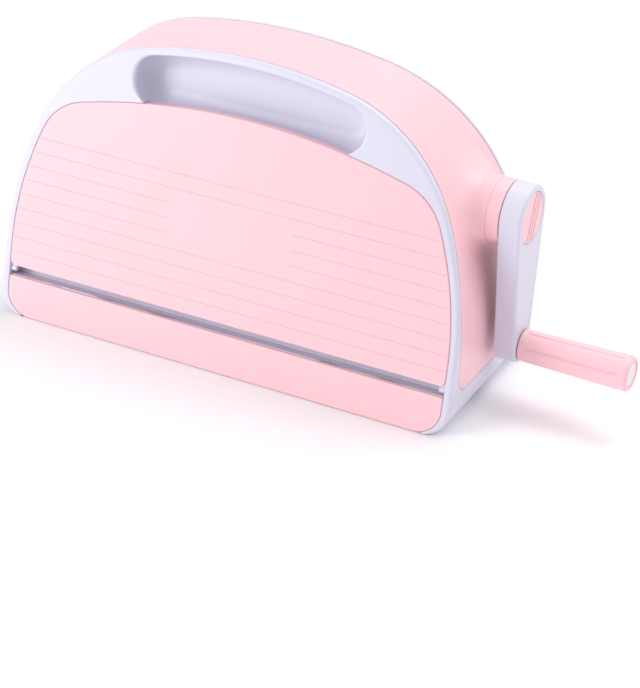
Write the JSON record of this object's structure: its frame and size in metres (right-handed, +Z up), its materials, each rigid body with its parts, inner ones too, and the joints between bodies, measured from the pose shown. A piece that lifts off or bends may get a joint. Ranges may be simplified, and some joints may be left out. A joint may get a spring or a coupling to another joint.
{
  "type": "die cutting machine",
  "caption": "Hand-cranked die cutting machine: arched leaning case with carry recesses, fold-down feed trays, geared rollers and a side crank with a spinning grip.",
  "frame": {"origin": "middle of the flat underside of the base", "axes": "+X along the rollers towards the crank, +Y from the front face to the back, +Z up"},
  "size_m": [0.4167, 0.1358, 0.202],
  "materials": {
    "pink_plastic": "soft gloss",
    "white_plastic": "soft gloss",
    "cream_plastic": "matte",
    "rubber": "matte",
    "bush_bronze": "satin",
    "steel": "satin",
    "gear_steel": "satin"
  },
  "bodies": {
    "case": {"outer_shell": "pink_plastic", "crank_collar": "pink_plastic", "front_sill": "pink_plastic", "rear_sill": "pink_plastic", "front_frame": "white_plastic", "rear_frame": "white_plastic", "front_handle_cup": "white_plastic", "rear_handle_cup": "white_plastic", "base_pan": "white_plastic", "front_platform": "white_plastic", "rear_platform": "white_plastic", "rubber_pads": "rubber", "upper_roller_bushes": "bush_bronze", "lower_roller_bushes": "bush_bronze", "crank_plate_bush": "bush_bronze", "crank_boss_bush": "bush_bronze", "front_hinge_pins": "steel", "rear_hinge_pins": "steel", "frame_screws": "steel", "chassis_screws": "steel", "left_side_plate": "steel", "right_side_plate": "steel", "tie_rods": "steel", "tie_rod_nuts": "steel", "idler_pin": "steel"},
    "crank": {"crank_shaft": "steel", "crank_pinion": "gear_steel", "crank_arm": "white_plastic", "crank_cap": "pink_plastic", "crank_screw": "steel", "grip_spindle": "steel"},
    "grip": {"grip": "pink_plastic", "grip_end_cap": "cream_plastic"},
    "idler": {"idler_gear": "gear_steel"},
    "upper_feed": {"upper_roller": "steel", "roller_drive_gear": "gear_steel", "upper_mesh_gear": "gear_steel"},
    "lower_feed": {"lower_roller": "steel", "lower_mesh_gear": "gear_steel"},
    "front_tray": {"front_tray_cover": "pink_plastic", "front_tray_table": "white_plastic"},
    "rear_tray": {"rear_tray_cover": "pink_plastic", "rear_tray_table": "white_plastic"}
  },
  "joints": [
    {"name": "crank_spin", "type": "hinge", "parent": "case", "child": "crank", "pos_m": [0.1, 0, 0.12854], "axis": [1, 0, 0], "continuous": true},
    {"name": "grip_spin", "type": "hinge", "parent": "crank", "child": "grip", "pos_m": [0.2, 0, 0.04054], "axis": [1, 0, 0], "continuous": true},
    {"name": "idler_spin", "type": "hinge", "parent": "case", "child": "idler", "pos_m": [0.12, 0, 0.09754], "axis": [1, 0, 0], "continuous": true},
    {"name": "upper_roller_spin", "type": "hinge", "parent": "case", "child": "upper_feed", "pos_m": [0, 0, 0.05654], "axis": [1, 0, 0], "continuous": true},
    {"name": "lower_roller_spin", "type": "hinge", "parent": "case", "child": "lower_feed", "pos_m": [0, 0, 0.02254], "axis": [1, 0, 0], "continuous": true},
    {"name": "front_tray_fold", "type": "hinge", "parent": "case", "child": "front_tray", "pos_m": [0, -0.05912, 0.03009], "axis": [1, 0, 0], "range_deg": [0, 100.5]},
    {"name": "rear_tray_fold", "type": "hinge", "parent": "case", "child": "rear_tray", "pos_m": [0, 0.05912, 0.03009], "axis": [-1, 0, 0], "range_deg": [0, 100.5]}
  ],
  "couplings": [
    {"joint": "idler_spin", "follows": "crank_spin", "ratio": -0.82353},
    {"joint": "upper_roller_spin", "follows": "crank_spin", "ratio": 0.58333},
    {"joint": "lower_roller_spin", "follows": "crank_spin", "ratio": -0.58333}
  ]
}
